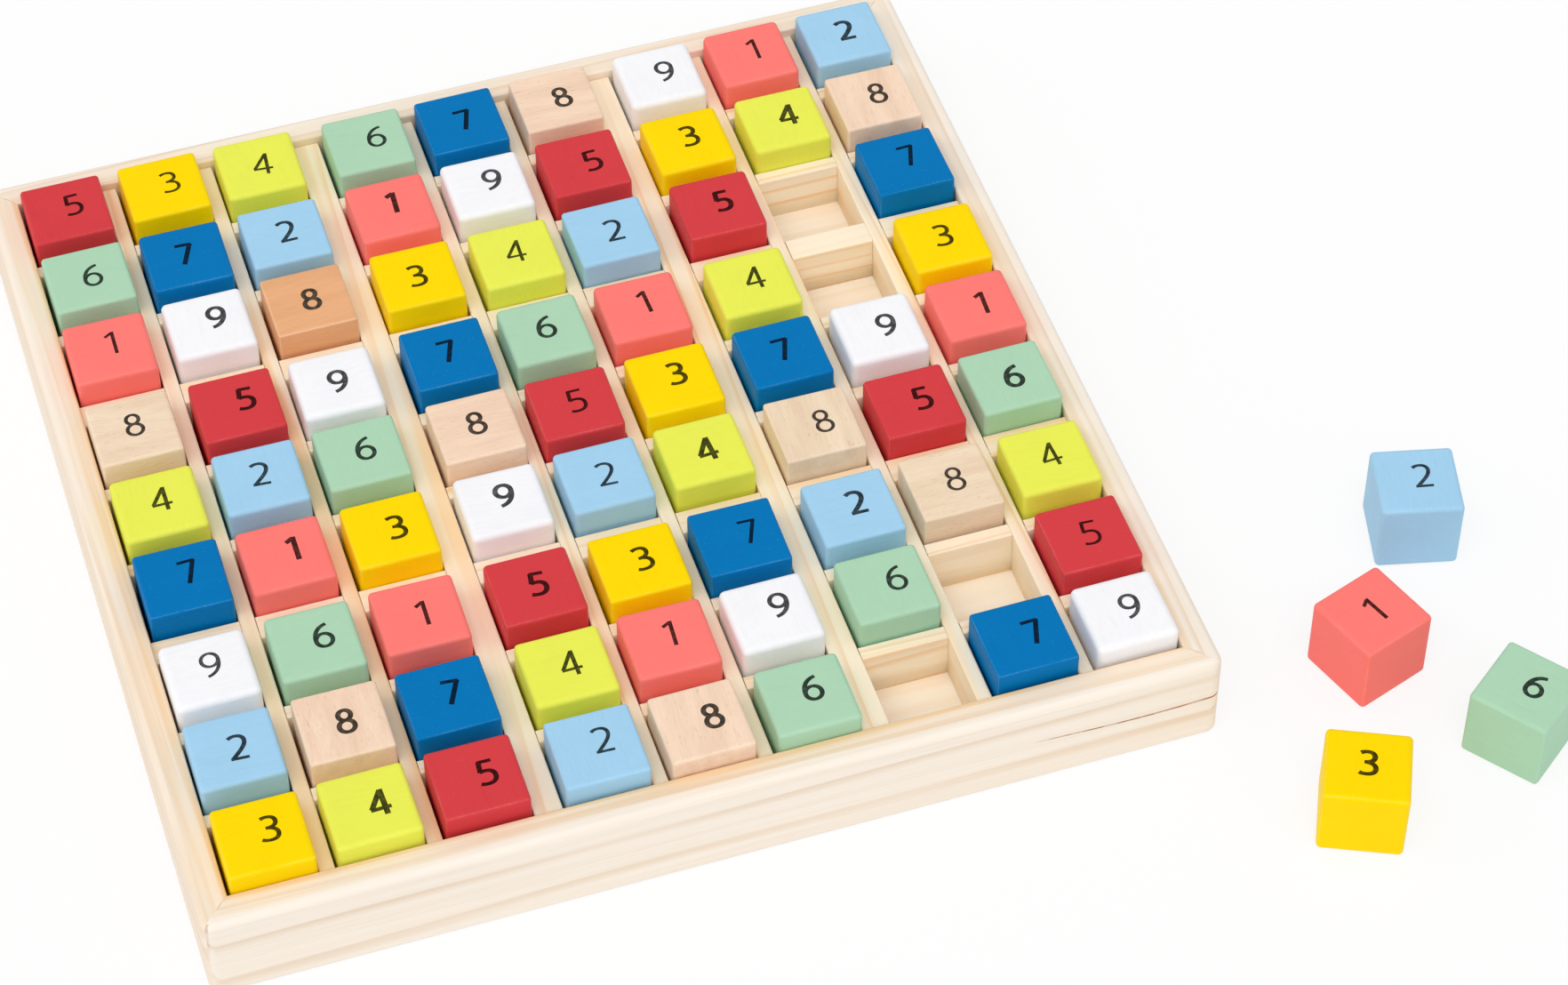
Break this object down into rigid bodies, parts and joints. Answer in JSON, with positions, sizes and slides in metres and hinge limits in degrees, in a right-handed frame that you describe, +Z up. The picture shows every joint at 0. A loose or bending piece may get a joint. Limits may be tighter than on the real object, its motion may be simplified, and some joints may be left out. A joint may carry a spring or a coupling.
{
  "type": "sudoku board",
  "caption": "Square wooden sudoku tray: mitred rails, base board and halved slat grid in blocks, holding coloured number cubes that lift out; some cubes lie loose beside it.",
  "frame": {"origin": "middle of the tray's flat underside, on the table", "axes": "+X along the front rail to the right, +Y from the front rail to the back rail, +Z up out of the cells"},
  "size_m": [0.3134, 0.2823, 0.0293],
  "materials": {
    "pine": "sanded pale pine, thin clear coat",
    "plywood": "sanded birch plywood",
    "paint_1": "satin coral paint on beech",
    "paint_2": "satin light blue paint on beech",
    "paint_3": "satin yellow paint on beech",
    "paint_4": "satin lime paint on beech",
    "paint_5": "satin dark red paint on beech",
    "paint_6": "satin mint paint on beech",
    "paint_7": "satin dark blue paint on beech",
    "beech": "sanded bare beech",
    "paint_9": "satin white paint on beech"
  },
  "bodies": {
    "tray": {"front_rail": "pine", "right_rail": "pine", "back_rail": "pine", "left_rail": "pine", "base_board": "plywood", "row_slats": "pine", "row_bars": "pine", "column_slats": "pine", "column_bars": "pine"},
    "cube_5_row1_col1": {"cube_5_row1_col1": "paint_5"},
    "cube_4_row1_col3": {"cube_4_row1_col3": "paint_4"},
    "cube_7_row1_col5": {"cube_7_row1_col5": "paint_7"},
    "cube_9_row1_col7": {"cube_9_row1_col7": "paint_9"},
    "cube_2_row1_col9": {"cube_2_row1_col9": "paint_2"},
    "cube_7_row2_col2": {"cube_7_row2_col2": "paint_7"},
    "cube_1_row2_col4": {"cube_1_row2_col4": "paint_1"},
    "cube_5_row2_col6": {"cube_5_row2_col6": "paint_5"},
    "cube_4_row2_col8": {"cube_4_row2_col8": "paint_4"},
    "cube_1_row3_col1": {"cube_1_row3_col1": "paint_1"},
    "cube_8_row3_col3": {"cube_8_row3_col3": "beech"},
    "cube_4_row3_col5": {"cube_4_row3_col5": "paint_4"},
    "cube_5_row3_col7": {"cube_5_row3_col7": "paint_5"},
    "cube_7_row3_col9": {"cube_7_row3_col9": "paint_7"},
    "cube_5_row4_col2": {"cube_5_row4_col2": "paint_5"},
    "cube_7_row4_col4": {"cube_7_row4_col4": "paint_7"},
    "cube_1_row4_col6": {"cube_1_row4_col6": "paint_1"},
    "cube_4_row5_col1": {"cube_4_row5_col1": "paint_4"},
    "cube_6_row5_col3": {"cube_6_row5_col3": "paint_6"},
    "cube_5_row5_col5": {"cube_5_row5_col5": "paint_5"},
    "cube_7_row5_col7": {"cube_7_row5_col7": "paint_7"},
    "cube_1_row5_col9": {"cube_1_row5_col9": "paint_1"},
    "cube_1_row6_col2": {"cube_1_row6_col2": "paint_1"},
    "cube_9_row6_col4": {"cube_9_row6_col4": "paint_9"},
    "cube_4_row6_col6": {"cube_4_row6_col6": "paint_4"},
    "cube_5_row6_col8": {"cube_5_row6_col8": "paint_5"},
    "cube_9_row7_col1": {"cube_9_row7_col1": "paint_9"},
    "cube_1_row7_col3": {"cube_1_row7_col3": "paint_1"},
    "cube_3_row7_col5": {"cube_3_row7_col5": "paint_3"},
    "cube_2_row7_col7": {"cube_2_row7_col7": "paint_2"},
    "cube_4_row7_col9": {"cube_4_row7_col9": "paint_4"},
    "cube_8_row8_col2": {"cube_8_row8_col2": "beech"},
    "cube_4_row8_col4": {"cube_4_row8_col4": "paint_4"},
    "cube_9_row8_col6": {"cube_9_row8_col6": "paint_9"},
    "cube_3_row9_col1": {"cube_3_row9_col1": "paint_3"},
    "cube_5_row9_col3": {"cube_5_row9_col3": "paint_5"},
    "cube_8_row9_col5": {"cube_8_row9_col5": "beech"},
    "cube_9_row9_col9": {"cube_9_row9_col9": "paint_9"},
    "loose_cube_1": {"loose_cube_1": "paint_1"},
    "loose_cube_2": {"loose_cube_2": "paint_2"},
    "loose_cube_3": {"loose_cube_3": "paint_3"},
    "loose_cube_6": {"loose_cube_6": "paint_6"},
    "cube_set_1": {"cube_set_1": "paint_1"},
    "cube_set_2": {"cube_set_2": "paint_2"},
    "cube_set_3": {"cube_set_3": "paint_3"},
    "cube_set_4": {"cube_set_4": "paint_4"},
    "cube_set_5": {"cube_set_5": "paint_5"},
    "cube_set_6": {"cube_set_6": "paint_6"},
    "cube_set_7": {"cube_set_7": "paint_7"},
    "cube_set_8": {"cube_set_8": "beech"},
    "cube_set_9": {"cube_set_9": "paint_9"}
  },
  "joints": [
    {"name": "lift_cube_5_row1_col1", "type": "slide", "parent": "tray", "child": "cube_5_row1_col1", "axis": [0, 0, 1], "range_m": [0, 0.03]},
    {"name": "lift_cube_4_row1_col3", "type": "slide", "parent": "tray", "child": "cube_4_row1_col3", "axis": [0, 0, 1], "range_m": [0, 0.03]},
    {"name": "lift_cube_7_row1_col5", "type": "slide", "parent": "tray", "child": "cube_7_row1_col5", "axis": [0, 0, 1], "range_m": [0, 0.03]},
    {"name": "lift_cube_9_row1_col7", "type": "slide", "parent": "tray", "child": "cube_9_row1_col7", "axis": [0, 0, 1], "range_m": [0, 0.03]},
    {"name": "lift_cube_2_row1_col9", "type": "slide", "parent": "tray", "child": "cube_2_row1_col9", "axis": [0, 0, 1], "range_m": [0, 0.03]},
    {"name": "lift_cube_7_row2_col2", "type": "slide", "parent": "tray", "child": "cube_7_row2_col2", "axis": [0, 0, 1], "range_m": [0, 0.03]},
    {"name": "lift_cube_1_row2_col4", "type": "slide", "parent": "tray", "child": "cube_1_row2_col4", "axis": [0, 0, 1], "range_m": [0, 0.03]},
    {"name": "lift_cube_5_row2_col6", "type": "slide", "parent": "tray", "child": "cube_5_row2_col6", "axis": [0, 0, 1], "range_m": [0, 0.03]},
    {"name": "lift_cube_4_row2_col8", "type": "slide", "parent": "tray", "child": "cube_4_row2_col8", "axis": [0, 0, 1], "range_m": [0, 0.03]},
    {"name": "lift_cube_1_row3_col1", "type": "slide", "parent": "tray", "child": "cube_1_row3_col1", "axis": [0, 0, 1], "range_m": [0, 0.03]},
    {"name": "lift_cube_8_row3_col3", "type": "slide", "parent": "tray", "child": "cube_8_row3_col3", "axis": [0, 0, 1], "range_m": [0, 0.03]},
    {"name": "lift_cube_4_row3_col5", "type": "slide", "parent": "tray", "child": "cube_4_row3_col5", "axis": [0, 0, 1], "range_m": [0, 0.03]},
    {"name": "lift_cube_5_row3_col7", "type": "slide", "parent": "tray", "child": "cube_5_row3_col7", "axis": [0, 0, 1], "range_m": [0, 0.03]},
    {"name": "lift_cube_7_row3_col9", "type": "slide", "parent": "tray", "child": "cube_7_row3_col9", "axis": [0, 0, 1], "range_m": [0, 0.03]},
    {"name": "lift_cube_5_row4_col2", "type": "slide", "parent": "tray", "child": "cube_5_row4_col2", "axis": [0, 0, 1], "range_m": [0, 0.03]},
    {"name": "lift_cube_7_row4_col4", "type": "slide", "parent": "tray", "child": "cube_7_row4_col4", "axis": [0, 0, 1], "range_m": [0, 0.03]},
    {"name": "lift_cube_1_row4_col6", "type": "slide", "parent": "tray", "child": "cube_1_row4_col6", "axis": [0, 0, 1], "range_m": [0, 0.03]},
    {"name": "lift_cube_4_row5_col1", "type": "slide", "parent": "tray", "child": "cube_4_row5_col1", "axis": [0, 0, 1], "range_m": [0, 0.03]},
    {"name": "lift_cube_6_row5_col3", "type": "slide", "parent": "tray", "child": "cube_6_row5_col3", "axis": [0, 0, 1], "range_m": [0, 0.03]},
    {"name": "lift_cube_5_row5_col5", "type": "slide", "parent": "tray", "child": "cube_5_row5_col5", "axis": [0, 0, 1], "range_m": [0, 0.03]},
    {"name": "lift_cube_7_row5_col7", "type": "slide", "parent": "tray", "child": "cube_7_row5_col7", "axis": [0, 0, 1], "range_m": [0, 0.03]},
    {"name": "lift_cube_1_row5_col9", "type": "slide", "parent": "tray", "child": "cube_1_row5_col9", "axis": [0, 0, 1], "range_m": [0, 0.03]},
    {"name": "lift_cube_1_row6_col2", "type": "slide", "parent": "tray", "child": "cube_1_row6_col2", "axis": [0, 0, 1], "range_m": [0, 0.03]},
    {"name": "lift_cube_9_row6_col4", "type": "slide", "parent": "tray", "child": "cube_9_row6_col4", "axis": [0, 0, 1], "range_m": [0, 0.03]},
    {"name": "lift_cube_4_row6_col6", "type": "slide", "parent": "tray", "child": "cube_4_row6_col6", "axis": [0, 0, 1], "range_m": [0, 0.03]},
    {"name": "lift_cube_5_row6_col8", "type": "slide", "parent": "tray", "child": "cube_5_row6_col8", "axis": [0, 0, 1], "range_m": [0, 0.03]},
    {"name": "lift_cube_9_row7_col1", "type": "slide", "parent": "tray", "child": "cube_9_row7_col1", "axis": [0, 0, 1], "range_m": [0, 0.03]},
    {"name": "lift_cube_1_row7_col3", "type": "slide", "parent": "tray", "child": "cube_1_row7_col3", "axis": [0, 0, 1], "range_m": [0, 0.03]},
    {"name": "lift_cube_3_row7_col5", "type": "slide", "parent": "tray", "child": "cube_3_row7_col5", "axis": [0, 0, 1], "range_m": [0, 0.03]},
    {"name": "lift_cube_2_row7_col7", "type": "slide", "parent": "tray", "child": "cube_2_row7_col7", "axis": [0, 0, 1], "range_m": [0, 0.03]},
    {"name": "lift_cube_4_row7_col9", "type": "slide", "parent": "tray", "child": "cube_4_row7_col9", "axis": [0, 0, 1], "range_m": [0, 0.03]},
    {"name": "lift_cube_8_row8_col2", "type": "slide", "parent": "tray", "child": "cube_8_row8_col2", "axis": [0, 0, 1], "range_m": [0, 0.03]},
    {"name": "lift_cube_4_row8_col4", "type": "slide", "parent": "tray", "child": "cube_4_row8_col4", "axis": [0, 0, 1], "range_m": [0, 0.03]},
    {"name": "lift_cube_9_row8_col6", "type": "slide", "parent": "tray", "child": "cube_9_row8_col6", "axis": [0, 0, 1], "range_m": [0, 0.03]},
    {"name": "lift_cube_3_row9_col1", "type": "slide", "parent": "tray", "child": "cube_3_row9_col1", "axis": [0, 0, 1], "range_m": [0, 0.03]},
    {"name": "lift_cube_5_row9_col3", "type": "slide", "parent": "tray", "child": "cube_5_row9_col3", "axis": [0, 0, 1], "range_m": [0, 0.03]},
    {"name": "lift_cube_8_row9_col5", "type": "slide", "parent": "tray", "child": "cube_8_row9_col5", "axis": [0, 0, 1], "range_m": [0, 0.03]},
    {"name": "lift_cube_9_row9_col9", "type": "slide", "parent": "tray", "child": "cube_9_row9_col9", "axis": [0, 0, 1], "range_m": [0, 0.03]},
    {"name": "lift_loose_cube_1", "type": "slide", "parent": "tray", "child": "loose_cube_1", "axis": [0, 0, 1], "range_m": [0, 0.03]},
    {"name": "lift_loose_cube_2", "type": "slide", "parent": "tray", "child": "loose_cube_2", "axis": [0, 0, 1], "range_m": [0, 0.03]},
    {"name": "lift_loose_cube_3", "type": "slide", "parent": "tray", "child": "loose_cube_3", "axis": [0, 0, 1], "range_m": [0, 0.03]},
    {"name": "lift_loose_cube_6", "type": "slide", "parent": "tray", "child": "loose_cube_6", "axis": [0, 0, 1], "range_m": [0, 0.03]},
    {"name": "lift_cube_set_1", "type": "slide", "parent": "tray", "child": "cube_set_1", "axis": [0, 0, 1], "range_m": [0, 0.03]},
    {"name": "lift_cube_set_2", "type": "slide", "parent": "tray", "child": "cube_set_2", "axis": [0, 0, 1], "range_m": [0, 0.03]},
    {"name": "lift_cube_set_3", "type": "slide", "parent": "tray", "child": "cube_set_3", "axis": [0, 0, 1], "range_m": [0, 0.03]},
    {"name": "lift_cube_set_4", "type": "slide", "parent": "tray", "child": "cube_set_4", "axis": [0, 0, 1], "range_m": [0, 0.03]},
    {"name": "lift_cube_set_5", "type": "slide", "parent": "tray", "child": "cube_set_5", "axis": [0, 0, 1], "range_m": [0, 0.03]},
    {"name": "lift_cube_set_6", "type": "slide", "parent": "tray", "child": "cube_set_6", "axis": [0, 0, 1], "range_m": [0, 0.03]},
    {"name": "lift_cube_set_7", "type": "slide", "parent": "tray", "child": "cube_set_7", "axis": [0, 0, 1], "range_m": [0, 0.03]},
    {"name": "lift_cube_set_8", "type": "slide", "parent": "tray", "child": "cube_set_8", "axis": [0, 0, 1], "range_m": [0, 0.03]},
    {"name": "lift_cube_set_9", "type": "slide", "parent": "tray", "child": "cube_set_9", "axis": [0, 0, 1], "range_m": [0, 0.03]}
  ]
}
